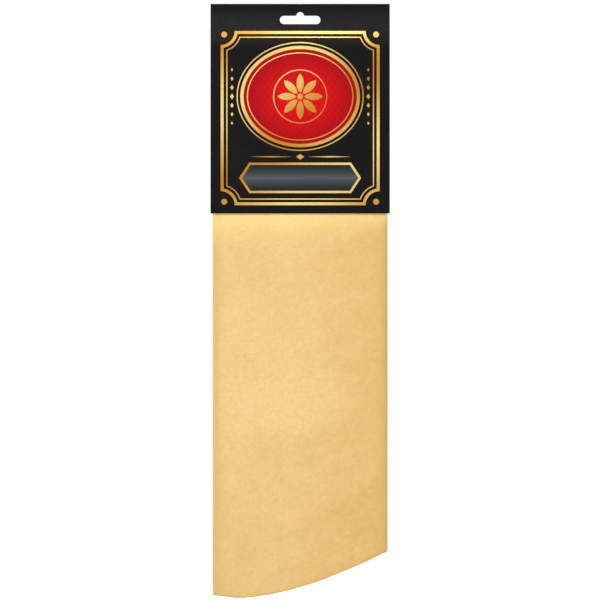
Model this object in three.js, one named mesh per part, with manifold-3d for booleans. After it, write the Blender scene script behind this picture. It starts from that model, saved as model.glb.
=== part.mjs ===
// A chamois leather, folded lengthwise and stapled into its header card, hanging as it does on a peg.
//
// Millimetres, +Z up, -Y towards the viewer and +X to the viewer's right. The origin is the top of the
// hanging slot's lobe, where the pack bears on its peg, midway between the card's two panels.

import * as THREE from "three";
import { mergeVertices } from "three/addons/utils/BufferGeometryUtils.js";
import Module from "manifold-3d";

const wasm = await Module();
wasm.setup();

// Clearances
const seatGap = 0.3; // between pieces that rest on each other
const creaseClearance = 0.3; // between the crease bead and the panel that turns round it
const holeClearance = 0.3; // round a staple's leg
const cutOverrun = 3; // how far a cutting tool runs past the face that it cuts
const mergeDistance = 1e-4; // vertices nearer than this are one

// Header card: one sheet of board, scored and folded over at the top
const cardWidth = 141;
const cardHeight = 165;
const boardThickness = 0.5;
const creaseBeadRadius = 0.5; // the ridge that scoring raises inside the fold
const creaseStraight = 3; // the front panel's straight stretch under the crease
const shoulderLead = 2; // the front panel's swell ends this far above the leather

// Hanging slot, punched through both panels
const slotWidth = 32;
const slotHeight = 6.6;
const lobeRadius = 2.95;
const lobeFillet = 0.7;
const slotBelowFold = 6.5; // from the card's top edge to the top of the lobe

// Chamois skin
const leatherThickness = 0.9;
const skinLength = 430.5; // neck to rump, at its longest
const skinHalfWidth = 250; // centre line to flank
const foldedWidth = 137.4;
const skinBelowSlot = 21; // from the slot's lower edge to the skin's neck
const pinchedGap = 0.5; // between two layers inside the card
const looseGap = 1.3; // between two layers at the hanging end
const backHalfShort = 1.6; // the half folded behind ends this much higher at the rump

// Staples, driven from behind through the back panel and the leather
const stapleCrown = 12;
const stapleWire = 0.5; // thickness of the flattened wire
const stapleWireWidth = 0.7;
const stapleBend = 0.35; // inside radius of its corners
const stapleClinch = 3.8; // length of leg turned over on the leather
const staplePoint = 0.4; // how far the chisel point is cut back
const stapleSpacing = 66;
const stapleBelowNeck = 26;

// Adhesive pads that hold the front panel's lower end to the leather
const padRadius = 6;
const padThickness = 0.5;
const padFromSide = 24.5; // from the card's side edge to the pad's middle
const padAboveEdge = 13;

// The skin's outline in shares: the share of the half width from the centre line, then the share of
// the skin's length that the edge stands in from the neck or from the rump.
const neckEdgeShares = [
  [0, 0],
  [0.2, 0.004],
  [0.4, 0.019],
  [0.55, 0.045],
  [0.66, 0.08],
  [0.76, 0.125],
  [0.86, 0.19],
  [0.93, 0.258],
  [0.975, 0.33],
  [1, 0.45],
];
const rumpEdgeShares = [
  [0, 0.0052],
  [0.08, 0],
  [0.16, 0.0045],
  [0.29, 0.0225],
  [0.42, 0.0505],
  [0.55, 0.0855],
  [0.66, 0.124],
  [0.76, 0.174],
  [0.86, 0.248],
  [0.93, 0.318],
  [0.975, 0.39],
  [1, 0.5],
];

// How finely curves are divided
const arcSteps = 12;
const shoulderSteps = 14;
const padSides = 28;
const skinRows = 8;
const skinSteps = { centreFold: 4, cover: 11, edgeFold: 8, flap: 9 }; // along each stretch of a half
const flapCrowding = 1.6; // how much closer the steps are at the flank, where the outline turns

// Depths, from the back of the pack to its front
const creaseZ = slotBelowFold - creaseBeadRadius;
const creaseHalfGap = creaseBeadRadius + creaseClearance;
const panelEndZ = creaseZ - creaseClearance / 2;
const cardBottomZ = slotBelowFold - cardHeight;
const backPanelInside = creaseHalfGap;
const backPanelOutside = backPanelInside + boardThickness;
const skinBack = backPanelInside - seatGap;
const skinLayers = 4; // two halves, each a cover and a flap
const skinStack = skinLayers * leatherThickness + (skinLayers - 1) * pinchedGap;
const skinMiddle = skinBack - skinStack / 2;
const skinFront = skinBack - skinStack;
const padBack = skinFront - seatGap;
const frontPanelInside = padBack - padThickness - seatGap;

// Heights
const slotTopEdgeZ = -lobeRadius;
const slotMiddleZ = slotTopEdgeZ - slotHeight / 2;
const neckZ = slotTopEdgeZ - slotHeight - skinBelowSlot;
const rumpZ = neckZ - skinLength;
const stapleZ = neckZ - stapleBelowNeck;
const padZ = cardBottomZ + padAboveEdge;

function material(hex, roughness) {
  return new THREE.MeshStandardMaterial({ color: hex, roughness, metalness: 0 });
}

const boardMaterial = material(0x232021, 0.45);
const leatherMaterial = material(0xf0cd8a, 0.95);
const padMaterial = material(0xd9dad6, 0.3);
const wireMaterial = new THREE.MeshStandardMaterial({ color: 0xb9bcc0, roughness: 0.3, metalness: 1 });

// A closed geometry as a solid for cutting, and back again
function solidOf(geometry) {
  const bare = geometry.clone();
  bare.deleteAttribute("normal");
  bare.deleteAttribute("uv");
  const merged = mergeVertices(bare, mergeDistance);
  return new wasm.Manifold(
    new wasm.Mesh({
      numProp: 3,
      vertProperties: merged.attributes.position.array,
      triVerts: new Uint32Array(merged.index.array),
    }),
  );
}

function geometryOf(solid) {
  const mesh = solid.getMesh();
  const geometry = new THREE.BufferGeometry();
  geometry.setAttribute("position", new THREE.BufferAttribute(mesh.vertProperties, 3));
  geometry.setIndex(new THREE.BufferAttribute(mesh.triVerts, 1));
  geometry.computeVertexNormals();
  return geometry;
}

function cut(geometry, cutters) {
  return geometryOf(cutters.reduce((solid, cutter) => solid.subtract(solidOf(cutter)), solidOf(geometry)));
}

// A profile drawn in Y and Z, run across the card's width
function acrossCard(profile) {
  const geometry = new THREE.ExtrudeGeometry(profile, {
    depth: cardWidth,
    bevelEnabled: false,
    curveSegments: arcSteps,
  });
  // The profile's own x, y and z become Y, Z and X.
  geometry.applyMatrix4(new THREE.Matrix4().set(0, 0, 1, 0, 1, 0, 0, 0, 0, 1, 0, 0, 0, 0, 0, 1));
  return geometry.translate(-cardWidth / 2, 0, 0);
}

// The slot's outline, with its middle on the peg's centre line: a long slot with round ends, and a
// lobe on its upper edge that keeps the pack centred on the peg.
function slotOutline() {
  const endRadius = slotHeight / 2;
  const endX = slotWidth / 2 - endRadius;
  const filletX = Math.sqrt((lobeRadius + lobeFillet) ** 2 - lobeFillet ** 2);
  const filletAngle = Math.atan2(lobeFillet, filletX);
  const outline = new THREE.Shape();
  outline.moveTo(-endX, slotMiddleZ - endRadius);
  outline.lineTo(endX, slotMiddleZ - endRadius);
  outline.absarc(endX, slotMiddleZ, endRadius, -Math.PI / 2, Math.PI / 2, false);
  outline.lineTo(filletX, slotTopEdgeZ);
  outline.absarc(filletX, slotTopEdgeZ + lobeFillet, lobeFillet, -Math.PI / 2, Math.PI + filletAngle, true);
  outline.absarc(0, slotTopEdgeZ, lobeRadius, filletAngle, Math.PI - filletAngle, false);
  outline.absarc(-filletX, slotTopEdgeZ + lobeFillet, lobeFillet, -filletAngle, -Math.PI / 2, true);
  outline.lineTo(-endX, slotTopEdgeZ);
  outline.absarc(-endX, slotMiddleZ, endRadius, Math.PI / 2, (3 * Math.PI) / 2, false);
  return outline;
}

function slotCutter() {
  const from = frontPanelInside - boardThickness - cutOverrun;
  const to = backPanelOutside + cutOverrun;
  const geometry = new THREE.ExtrudeGeometry(slotOutline(), {
    depth: to - from,
    bevelEnabled: false,
    curveSegments: arcSteps,
  });
  return geometry.rotateX(Math.PI / 2).translate(0, to, 0);
}

// Back panel: flat, with the crease bead along its top edge. The bead is joined to the panel below the
// fold's centre line, which leaves the front panel room to open flat.
function backPanel() {
  const beadMeets = Math.asin(creaseClearance / 2 / creaseBeadRadius);
  const profile = new THREE.Shape();
  profile.moveTo(backPanelInside, cardBottomZ);
  profile.lineTo(backPanelOutside, cardBottomZ);
  profile.lineTo(backPanelOutside, panelEndZ);
  profile.lineTo(creaseBeadRadius * Math.cos(beadMeets), panelEndZ);
  profile.absarc(0, creaseZ, creaseBeadRadius, -beadMeets, (3 * Math.PI) / 2, false);
  profile.lineTo(backPanelInside, creaseZ - creaseBeadRadius);
  return cut(acrossCard(profile), [slotCutter(), ...stapleLegCutters()]);
}

// How far in front of the fold's centre the middle of the front panel's board lies at a height: close
// to the back panel under the crease, then out over the leather in one smooth swell.
const shoulderTopZ = panelEndZ - creaseStraight;
const shoulderEndZ = neckZ + shoulderLead;
function frontPanelDepth(z) {
  const near = creaseHalfGap + boardThickness / 2;
  const far = boardThickness / 2 - frontPanelInside;
  return THREE.MathUtils.lerp(near, far, THREE.MathUtils.smoothstep(-z, -shoulderTopZ, -shoulderEndZ));
}

function frontPanel() {
  const heights = [panelEndZ];
  for (let i = 0; i <= shoulderSteps; i++) {
    heights.push(THREE.MathUtils.lerp(shoulderTopZ, shoulderEndZ, i / shoulderSteps));
  }
  heights.push(cardBottomZ);
  const probe = boardThickness / 10;
  const face = (side) =>
    heights.map((z) => {
      const slope = (frontPanelDepth(z - probe) - frontPanelDepth(z + probe)) / (2 * probe);
      const reach = (side * boardThickness) / 2 / Math.hypot(1, slope);
      return new THREE.Vector2(-frontPanelDepth(z) + reach, z + reach * -slope);
    });
  const profile = new THREE.Shape([...face(1), ...face(-1).reverse()]);
  return cut(acrossCard(profile), [slotCutter()]);
}

// The gap between two layers of the skin: closed up inside the card, and easing open as it hangs
function layerGap(z) {
  const below = Math.max(0, cardBottomZ - z) / (cardBottomZ - rumpZ);
  return pinchedGap + (looseGap - pinchedGap) * below ** 2;
}

// The folded skin's path at one height. The skin is folded in half along its centre line, which is the
// pack's left edge, and both halves are then folded back together at the right edge. half is 1 for the
// half whose cover shows in front, and -1 for the half behind it.
function foldsAt(half, gap) {
  const pitch = leatherThickness + gap;
  const left = { x: -(foldedWidth - leatherThickness) / 2 + pitch / 2, radius: pitch / 2 };
  const right = {
    x: (foldedWidth - leatherThickness) / 2 - 1.5 * pitch,
    radius: (half > 0 ? 1.5 : 0.5) * pitch,
  };
  const lengths = {
    centreFold: (Math.PI / 2) * left.radius,
    cover: right.x - left.x,
    edgeFold: Math.PI * right.radius,
  };
  lengths.flap = skinHalfWidth - lengths.centreFold - lengths.cover - lengths.edgeFold;
  return { pitch, left, right, lengths };
}

const stretches = ["centreFold", "cover", "edgeFold", "flap"];

// The middle of the leather at a share of one stretch, and the way that its inner side faces
function foldedPoint({ half, stretch, share }, z) {
  const { pitch, left, right, lengths } = foldsAt(half, layerGap(z));
  if (stretch === "centreFold") {
    const turn = (share * Math.PI) / 2;
    const out = new THREE.Vector2(-Math.cos(turn), -half * Math.sin(turn));
    const centre = new THREE.Vector2(left.x, skinMiddle - pitch);
    return { point: centre.addScaledVector(out, left.radius), inward: out.negate() };
  }
  if (stretch === "cover") {
    const x = THREE.MathUtils.lerp(left.x, right.x, share);
    return {
      point: new THREE.Vector2(x, skinMiddle - pitch - half * left.radius),
      inward: new THREE.Vector2(0, half),
    };
  }
  if (stretch === "edgeFold") {
    const turn = share * Math.PI;
    const out = new THREE.Vector2(Math.sin(turn), -Math.cos(turn));
    const point = new THREE.Vector2(right.x, skinMiddle).addScaledVector(out, right.radius);
    return { point, inward: out.multiplyScalar(-half) };
  }
  return {
    point: new THREE.Vector2(right.x - share * lengths.flap, skinMiddle + right.radius),
    inward: new THREE.Vector2(0, -half),
  };
}

function edgeCurve(shares) {
  const [positions, values] = [0, 1].map((i) => shares.map((pair) => pair[i]));
  const curve = new THREE.CubicInterpolant(positions, values, 1, new Float64Array(1));
  return (share) => curve.evaluate(THREE.MathUtils.clamp(share, 0, 1))[0];
}

const neckEdge = edgeCurve(neckEdgeShares);
const rumpEdge = edgeCurve(rumpEdgeShares);

// The skin's columns, from the front half's flank over the centre line to the back half's flank
function skinColumns() {
  const halfColumns = (half) => {
    const { lengths } = foldsAt(half, pinchedGap);
    const columns = [];
    let start = 0;
    for (const stretch of stretches) {
      const steps = skinSteps[stretch];
      const crowding = stretch === "flap" ? flapCrowding : 1;
      for (let i = columns.length ? 1 : 0; i <= steps; i++) {
        const share = 1 - (1 - i / steps) ** crowding;
        columns.push({ half, stretch, share, across: (start + share * lengths[stretch]) / skinHalfWidth });
      }
      start += lengths[stretch];
    }
    return columns;
  };
  return [...halfColumns(1).reverse(), ...halfColumns(-1).slice(1)];
}

// The folded skin as one closed sheet: both faces of every column and row, and a rim all round
function foldedSkin() {
  const columns = skinColumns();
  const positions = [];
  for (const side of [1, -1]) {
    for (const column of columns) {
      const top = neckZ - skinLength * neckEdge(column.across);
      const short = column.half < 0 ? backHalfShort : 0;
      const bottom = rumpZ + skinLength * rumpEdge(column.across) + short;
      for (let row = 0; row <= skinRows; row++) {
        const z = THREE.MathUtils.lerp(top, bottom, row / skinRows);
        const { point, inward } = foldedPoint(column, z);
        point.addScaledVector(inward, (side * leatherThickness) / 2);
        positions.push(point.x, point.y, z);
      }
    }
  }
  const rows = skinRows + 1;
  const end = rows - 1;
  const vertex = (side, column, row) => (side * columns.length + column) * rows + row;
  const index = [];
  const quad = (a, b, c, d) => index.push(a, c, b, a, d, c);
  for (let c = 0; c + 1 < columns.length; c++) {
    for (let r = 0; r + 1 < rows; r++) {
      quad(vertex(0, c, r), vertex(0, c + 1, r), vertex(0, c + 1, r + 1), vertex(0, c, r + 1));
      quad(vertex(1, c, r), vertex(1, c, r + 1), vertex(1, c + 1, r + 1), vertex(1, c + 1, r));
    }
    quad(vertex(0, c, 0), vertex(1, c, 0), vertex(1, c + 1, 0), vertex(0, c + 1, 0));
    quad(vertex(0, c, end), vertex(0, c + 1, end), vertex(1, c + 1, end), vertex(1, c, end));
  }
  const last = columns.length - 1;
  for (let r = 0; r + 1 < rows; r++) {
    quad(vertex(0, 0, r), vertex(0, 0, r + 1), vertex(1, 0, r + 1), vertex(1, 0, r));
    quad(vertex(0, last, r), vertex(1, last, r), vertex(1, last, r + 1), vertex(0, last, r + 1));
  }
  const geometry = new THREE.BufferGeometry();
  geometry.setAttribute("position", new THREE.Float32BufferAttribute(positions, 3));
  geometry.setIndex(index);
  return cut(geometry, stapleLegCutters());
}

// A staple lies in a level plane: its crown across the back of the card, its legs forward through the
// card and the leather, and their ends clinched towards each other on the leather's front.
const crownBack = backPanelOutside + seatGap + stapleWire;
const clinchFront = skinFront - seatGap - stapleWire;

function staple() {
  const side = stapleCrown / 2;
  const inner = side - stapleWire;
  const bend = stapleBend + stapleWire;
  const corner = side - bend;
  const tip = side - stapleClinch;
  const outline = new THREE.Shape();
  outline.moveTo(-tip, clinchFront);
  outline.lineTo(-tip - staplePoint, clinchFront + stapleWire);
  outline.lineTo(-corner, clinchFront + stapleWire);
  outline.absarc(-corner, clinchFront + bend, stapleBend, -Math.PI / 2, -Math.PI, true);
  outline.lineTo(-inner, crownBack - bend);
  outline.absarc(-corner, crownBack - bend, stapleBend, Math.PI, Math.PI / 2, true);
  outline.lineTo(corner, crownBack - stapleWire);
  outline.absarc(corner, crownBack - bend, stapleBend, Math.PI / 2, 0, true);
  outline.lineTo(inner, clinchFront + bend);
  outline.absarc(corner, clinchFront + bend, stapleBend, 0, -Math.PI / 2, true);
  outline.lineTo(tip + staplePoint, clinchFront + stapleWire);
  outline.lineTo(tip, clinchFront);
  outline.lineTo(corner, clinchFront);
  outline.absarc(corner, clinchFront + bend, bend, -Math.PI / 2, 0, false);
  outline.lineTo(side, crownBack - bend);
  outline.absarc(corner, crownBack - bend, bend, 0, Math.PI / 2, false);
  outline.lineTo(-corner, crownBack);
  outline.absarc(-corner, crownBack - bend, bend, Math.PI / 2, Math.PI, false);
  outline.lineTo(-side, clinchFront + bend);
  outline.absarc(-corner, clinchFront + bend, bend, Math.PI, (3 * Math.PI) / 2, false);
  return new THREE.ExtrudeGeometry(outline, {
    depth: stapleWireWidth,
    bevelEnabled: false,
    curveSegments: arcSteps / 2,
  }).translate(0, 0, -stapleWireWidth / 2);
}

// The holes that the staples' legs make in the board and the leather
function stapleLegCutters() {
  const length = crownBack - clinchFront + 2 * cutOverrun;
  const cutters = [];
  for (const at of [-1, 1]) {
    for (const leg of [-1, 1]) {
      const x = (at * stapleSpacing) / 2 + (leg * (stapleCrown - stapleWire)) / 2;
      cutters.push(
        new THREE.BoxGeometry(
          stapleWire + 2 * holeClearance,
          length,
          stapleWireWidth + 2 * holeClearance,
        ).translate(x, (crownBack + clinchFront) / 2, stapleZ),
      );
    }
  }
  return cutters;
}

function adhesivePad() {
  return new THREE.CylinderGeometry(padRadius, padRadius, padThickness, padSides);
}

function named(name, geometry, surface) {
  const mesh = new THREE.Mesh(geometry, surface);
  mesh.name = name;
  return mesh;
}

const pack = new THREE.Group();
const root = new THREE.Group();
root.add(named("card_back_panel", backPanel(), boardMaterial));
root.add(named("chamois_skin", foldedSkin(), leatherMaterial));
for (const [side, at] of [["left", -1], ["right", 1]]) {
  const mesh = named(`staple_${side}`, staple(), wireMaterial);
  mesh.position.set((at * stapleSpacing) / 2, 0, stapleZ);
  root.add(mesh);
}
pack.add(root);

const flap = new THREE.Group();
flap.add(named("card_front_panel", frontPanel(), boardMaterial));
for (const [side, at] of [["left", -1], ["right", 1]]) {
  const mesh = named(`adhesive_pad_${side}`, adhesivePad(), padMaterial);
  mesh.position.set(at * (cardWidth / 2 - padFromSide), padBack - padThickness / 2, padZ);
  flap.add(mesh);
}
pack.add(flap);

export default pack;
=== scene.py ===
import math
from collections import namedtuple
from contextlib import contextmanager

import bmesh
import bpy
import numpy as np
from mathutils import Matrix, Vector, noise


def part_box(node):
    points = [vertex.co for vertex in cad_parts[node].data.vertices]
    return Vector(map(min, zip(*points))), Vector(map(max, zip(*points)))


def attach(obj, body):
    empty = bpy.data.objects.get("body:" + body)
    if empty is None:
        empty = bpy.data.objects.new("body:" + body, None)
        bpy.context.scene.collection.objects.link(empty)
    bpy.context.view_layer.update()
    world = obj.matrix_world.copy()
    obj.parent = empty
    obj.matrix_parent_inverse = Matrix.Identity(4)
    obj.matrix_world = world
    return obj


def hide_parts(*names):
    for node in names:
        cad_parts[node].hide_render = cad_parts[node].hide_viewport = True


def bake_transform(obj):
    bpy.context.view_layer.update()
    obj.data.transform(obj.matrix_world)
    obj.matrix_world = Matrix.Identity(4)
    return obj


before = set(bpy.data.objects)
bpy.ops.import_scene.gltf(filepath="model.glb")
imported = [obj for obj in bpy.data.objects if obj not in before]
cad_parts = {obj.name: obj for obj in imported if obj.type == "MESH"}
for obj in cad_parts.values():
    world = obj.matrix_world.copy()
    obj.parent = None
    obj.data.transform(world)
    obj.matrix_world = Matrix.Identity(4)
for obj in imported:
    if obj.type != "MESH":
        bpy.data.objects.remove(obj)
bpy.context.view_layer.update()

MM = 0.001
REAR_BODY = "back_panel_and_leather"
FRONT_BODY = "front_panel"

# The frame's own sizes, which everything below follows
FRONT_LOW, FRONT_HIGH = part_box("card_front_panel")
BACK_LOW, BACK_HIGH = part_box("card_back_panel")
SKIN_LOW, SKIN_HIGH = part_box("chamois_skin")
CARD_TOP = BACK_HIGH.z
CARD_BOTTOM = BACK_LOW.z
CARD_HALF_WIDTH = BACK_HIGH.x
PANEL_END = FRONT_HIGH.z

# The photograph, and where the card stands in it
PHOTO_SIDE_PX = 600
CARD_LEFT_PX = 210.5
CARD_RIGHT_PX = 389.8
CARD_TOP_PX = 3.65
METRES_PER_PX = 2 * CARD_HALF_WIDTH / (CARD_RIGHT_PX - CARD_LEFT_PX)

# Camera
CAMERA_DISTANCE = 12.0
SENSOR_WIDTH = 36.0


def make_camera():
    """Level and square on, as the photograph is, and far off, as it shows no perspective."""
    photo_middle_px = PHOTO_SIDE_PX / 2
    card_middle_px = (CARD_LEFT_PX + CARD_RIGHT_PX) / 2
    data = bpy.data.cameras.new("camera")
    data.sensor_width = SENSOR_WIDTH
    data.lens = SENSOR_WIDTH * CAMERA_DISTANCE / (PHOTO_SIDE_PX * METRES_PER_PX)
    camera = bpy.data.objects.new("camera", data)
    camera.location = (
        (photo_middle_px - card_middle_px) * METRES_PER_PX,
        FRONT_LOW.y - CAMERA_DISTANCE,
        CARD_TOP + (CARD_TOP_PX - photo_middle_px) * METRES_PER_PX,
    )
    camera.rotation_euler = (math.radians(90), 0, 0)
    bpy.context.scene.collection.objects.link(camera)
    bpy.context.scene.camera = camera


make_camera()
bpy.context.scene.view_settings.view_transform = "Standard"

# Light
LAMP_AIM = Vector((0, 0, (CARD_TOP + SKIN_LOW.z) / 2))
ROOM_LIGHT = 0.56
EYE_RAYS = ("Is Camera Ray", "Is Glossy Ray", "Is Transmission Ray")


def area_lamp(name, place, side, watts):
    data = bpy.data.lights.new(name, "AREA")
    data.shape = "SQUARE"
    data.size = side
    data.energy = watts
    lamp = bpy.data.objects.new(name, data)
    lamp.location = place
    lamp.rotation_mode = "QUATERNION"
    lamp.rotation_quaternion = (LAMP_AIM - Vector(place)).to_track_quat("-Z", "Y")
    bpy.context.scene.collection.objects.link(lamp)


def white_for_the_eye(tree):
    """A value that is 1 where the camera, or a mirror or clear piece, looks straight at a thing."""
    path = tree.nodes.new("ShaderNodeLightPath")
    value = path.outputs[EYE_RAYS[0]]
    for kind in EYE_RAYS[1:]:
        either = tree.nodes.new("ShaderNodeMath")
        either.operation = "MAXIMUM"
        tree.links.new(value, either.inputs[0])
        tree.links.new(path.outputs[kind], either.inputs[1])
        value = either.outputs[0]
    return value


def make_world():
    """A room that lights the object softly, and is white where the eye sees it."""
    world = bpy.data.worlds.new("white_room")
    bpy.context.scene.world = world
    world.use_nodes = True
    tree = world.node_tree
    background = tree.nodes["Background"]
    background.inputs["Color"].default_value = (1, 1, 1, 1)
    level = tree.nodes.new("ShaderNodeMapRange")
    level.inputs["To Min"].default_value = ROOM_LIGHT
    level.inputs["To Max"].default_value = 1.0
    tree.links.new(white_for_the_eye(tree), level.inputs["Value"])
    tree.links.new(level.outputs["Result"], background.inputs["Strength"])


make_world()
area_lamp("key_lamp", place=(-0.4, -1.4, 0.8), side=0.9, watts=15.5)
area_lamp("fill_lamp", place=(2.1, -0.8, -0.2), side=1.4, watts=5.4)
area_lamp("back_lamp", place=(0.3, 1.7, 0.5), side=1.4, watts=16)


# Shaders
def srgb(red, green, blue):
    """A colour read off the photograph, 0 to 255, as the linear colour that a shader takes."""
    return tuple(
        c / 12.92 if c <= 0.04045 else ((c + 0.055) / 1.055) ** 2.4
        for c in (red / 255, green / 255, blue / 255)
    ) + (1.0,)


class Shader:
    """A material built node by node. A method that adds a node gives back its output socket."""

    def __init__(self, name, **sockets):
        self.material = bpy.data.materials.new(name)
        self.material.use_nodes = True
        self.tree = self.material.node_tree
        self.bsdf = self.tree.nodes["Principled BSDF"]
        for socket, value in sockets.items():
            self.bsdf.inputs[socket.replace("_", " ")].default_value = value

    def node(self, kind, inputs, output=0, **settings):
        """A new node. inputs holds a socket to link to, or a value, for each input that is set."""
        made = self.tree.nodes.new(kind)
        for key, value in settings.items():
            setattr(made, key, value)
        for key, value in inputs.items():
            if isinstance(value, bpy.types.NodeSocket):
                self.tree.links.new(value, made.inputs[key])
            elif value is not None:
                made.inputs[key].default_value = value
        return made.outputs[output]

    def attribute(self, name, output="Fac"):
        return self.node("ShaderNodeAttribute", {}, output, attribute_name=name)

    def place(self):
        return self.node("ShaderNodeTexCoord", {}, "Object")

    def stretched(self, vector, sizes, turn=0.0):
        """The vector in units of those sizes, along axes turned by that angle about Z."""
        inputs = {"Vector": vector, "Scale": sizes, "Rotation": (0, 0, turn)}
        return self.node("ShaderNodeMapping", inputs, vector_type="TEXTURE")

    def noise(self, vector, scale, detail=2.0, roughness=0.5, distortion=0.0):
        inputs = {
            "Vector": vector,
            "Scale": scale,
            "Detail": detail,
            "Roughness": roughness,
            "Distortion": distortion,
        }
        return self.node("ShaderNodeTexNoise", inputs)

    def spread(self, value, low, high, to_low=0.0, to_high=1.0):
        """The value with low to high brought to to_low to to_high, and held there beyond."""
        inputs = {
            "Value": value,
            "From Min": low,
            "From Max": high,
            "To Min": to_low,
            "To Max": to_high,
        }
        return self.node("ShaderNodeMapRange", inputs)

    def math(self, operation, a, b=None):
        return self.node("ShaderNodeMath", {0: a, 1: b}, operation=operation)

    def number_mix(self, share, a, b):
        return self.node("ShaderNodeMix", {"Factor": share, "A": a, "B": b})

    def mix(self, share, a, b):
        """Two colours mixed. The mixer's colours are its sockets 6 and 7, and their mix output 2."""
        return self.node("ShaderNodeMix", {0: share, 6: a, 7: b}, 2, data_type="RGBA")

    def axes(self, vector):
        separated = self.node("ShaderNodeSeparateXYZ", {"Vector": vector})
        return separated.node.outputs

    def bump(self, height, distance, strength=1.0, normal=None):
        inputs = {"Height": height, "Distance": distance, "Strength": strength, "Normal": normal}
        return self.node("ShaderNodeBump", inputs)

    def finished(self, **sockets):
        """The material, with those sockets of its shader linked."""
        for socket, value in sockets.items():
            self.tree.links.new(value, self.bsdf.inputs[socket.replace("_", " ")])
        return self.material


HIDE_PALE = srgb(245, 215, 149)
HIDE_DEEP = srgb(226, 186, 111)
HIDE_FLECK = srgb(228, 180, 104)
HIDE_BLOOM = srgb(246, 215, 170)
HIDE_PORE = srgb(206, 160, 92)
HIDE_NAP = srgb(216, 170, 100)
# Painted shade beside the folds
HIDE_FOLD_PAINTED_SHADE = srgb(218, 178, 106)
# Painted highlight under the card's lower edge
HIDE_PAINTED_HIGHLIGHT = srgb(255, 229, 146)
HIDE_RAW = srgb(218, 174, 92)
BRUSH_TURN = math.radians(25)
CROSS_TURN = math.radians(90)
BRUSH_STREAK = (70 * MM, 14 * MM, 1)
BLOOM_SPOT = (6 * MM, 4.4 * MM, 0.1)
NAP_FIBRE = (0.95 * MM, 0.26 * MM, 1)


def chamois_shader():
    """Suede: a soft, mottled tan nap with darker raw edges, painted shade towards the right-hand fold,
    the bottom and beside the folds, and a painted highlight under the card's lower edge.
    """
    s = Shader(
        "chamois_suede",
        Roughness=0.94,
        Specular_IOR_Level=0.12,
        Sheen_Weight=0.16,
        Sheen_Roughness=0.5,
        Sheen_Tint=(1.0, 0.9, 0.68, 1.0),
    )
    skin = s.attribute("skin_place", "Vector")
    across, down, _ = s.axes(skin)
    clouds = s.noise(skin, 21, 3, 0.6, 0.5)
    patches = s.noise(skin, 60, 3, 0.6, 0.3)
    brushed = s.noise(s.stretched(skin, BRUSH_STREAK, BRUSH_TURN), 1.0, 3, 0.6)
    flecks = s.noise(skin, 250, 2, 0.55)
    bloom = s.noise(s.stretched(skin, BLOOM_SPOT, BRUSH_TURN), 1.0, 3, 0.6)
    lie = s.noise(skin, 35, 2, 0.5)
    fibres = [
        s.noise(s.stretched(skin, NAP_FIBRE, turn), 1.0, 3, 0.7, 0.6)
        for turn in (BRUSH_TURN, CROSS_TURN)
    ]
    nap = s.number_mix(s.spread(lie, 0.42, 0.58), *fibres)
    pores = s.noise(skin, 700, 3, 0.6)

    # Painted shade: the tone deepens towards the right-hand fold and towards the bottom of the skin
    tone = s.spread(s.math("ABSOLUTE", across), 0.065, 0.135, 0, 0.6)
    for part in (
        s.spread(down, -0.3, -0.44, 0, 0.3),
        s.spread(clouds, 0.38, 0.62, 0.01, 0.17),
        s.spread(patches, 0.35, 0.65, -0.04, 0.15),
        s.spread(brushed, 0.35, 0.65, -0.05, 0.11),
        s.attribute("depth_of_tone"),
    ):
        tone = s.math("ADD", tone, part)
    colour = s.mix(tone, HIDE_PALE, HIDE_DEEP)
    for share, shade in (
        (s.spread(flecks, 0.4, 0.64, 0, 0.24), HIDE_FLECK),
        (s.spread(bloom, 0.4, 0.66, 0, 0.25), HIDE_BLOOM),
        (s.spread(pores, 0.42, 0.7, 0, 0.24), HIDE_PORE),
        (s.spread(nap, 0.38, 0.66, 0, 0.36), HIDE_NAP),
        # Painted shade beside the folds
        (s.attribute("folded"), HIDE_FOLD_PAINTED_SHADE),
        # Painted highlight under the card's lower edge
        (s.attribute("wear_and_painted_highlight"), HIDE_PAINTED_HIGHLIGHT),
        (s.attribute("raw_edge"), HIDE_RAW),
    ):
        colour = s.mix(share, colour, shade)

    relief = s.bump(patches, 0.8 * MM, 0.5)
    relief = s.bump(flecks, 0.4 * MM, 0.5, relief)
    relief = s.bump(pores, 0.2 * MM, 0.7, relief)
    relief = s.bump(nap, 0.22 * MM, 0.9, relief)
    return s.finished(Base_Color=colour, Normal=relief)


def finish_print(s, place, colour):
    """What black ink, colour and foil share: rubbed edges, fine scuffs and the board's fibre."""
    x, _, z = s.axes(place)
    from_side = s.math("SUBTRACT", CARD_HALF_WIDTH, s.math("ABSOLUTE", x))
    from_foot = s.math("SUBTRACT", z, CARD_BOTTOM)
    from_fold = s.math("SUBTRACT", CARD_TOP, z)
    from_edge = s.math("MINIMUM", s.math("MINIMUM", from_side, from_foot), from_fold)
    patchy = s.spread(s.noise(place, 900, 4, 0.65), 0.5, 0.72)
    wear_and_painted_highlight = s.math("MULTIPLY", s.spread(from_edge, 0.05 * MM, 0.5 * MM, 0.7, 0), patchy)
    scuffs = s.spread(s.noise(place, 420, 5, 0.75), 0.66, 0.8, 0, 0.06)
    colour = s.mix(s.math("MAXIMUM", wear_and_painted_highlight, scuffs), colour, srgb(170, 164, 155))
    rough = s.spread(s.noise(place, 60, 4, 0.6), 0.3, 0.7, 0.32, 0.46)
    fibre = s.noise(s.stretched(place, (2 * MM, 2 * MM, 0.7 * MM)), 1.0, 3, 0.6)
    return s.finished(Base_Color=colour, Roughness=rough, Normal=s.bump(fibre, 0.03 * MM, 0.4))


def black_print_shader():
    """Black ink under a satin coating."""
    s = Shader("black_print", Specular_IOR_Level=0.09)
    place = s.place()
    cloud = s.noise(place, 30, 3, 0.6)
    colour = s.mix(s.spread(cloud, 0.3, 0.7), srgb(8, 6, 7), srgb(14, 11, 12))
    return finish_print(s, place, colour)


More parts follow.
